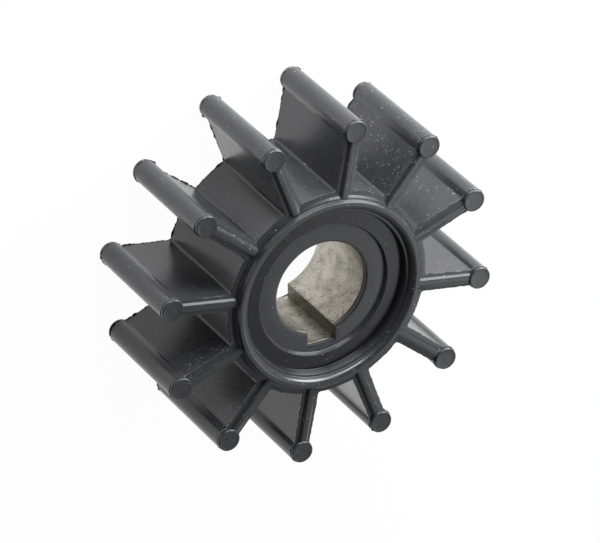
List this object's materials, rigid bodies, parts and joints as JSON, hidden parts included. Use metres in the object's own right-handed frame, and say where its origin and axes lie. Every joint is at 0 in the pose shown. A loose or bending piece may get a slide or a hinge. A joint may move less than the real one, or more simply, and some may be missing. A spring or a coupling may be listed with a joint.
{
  "type": "pump impeller",
  "caption": "Flexible pump impeller: a black rubber hub with straight radial blades that end in round tips, bonded to a metal bush with a shaft bore and a keyway.",
  "frame": {"origin": "on the shaft axis, in the plane of the rear face's ring lip, which the part rests on", "axes": "+Z along the shaft axis towards the front face, +X through the middle of a blade"},
  "size_m": [0.059, 0.059, 0.0219],
  "materials": {
    "rubber": "satin moulded rubber",
    "bush_metal": "dull bored metal with fine pits"
  },
  "bodies": {
    "root": {"rubber_impeller": "rubber", "metal_bush": "bush_metal"}
  },
  "joints": []
}
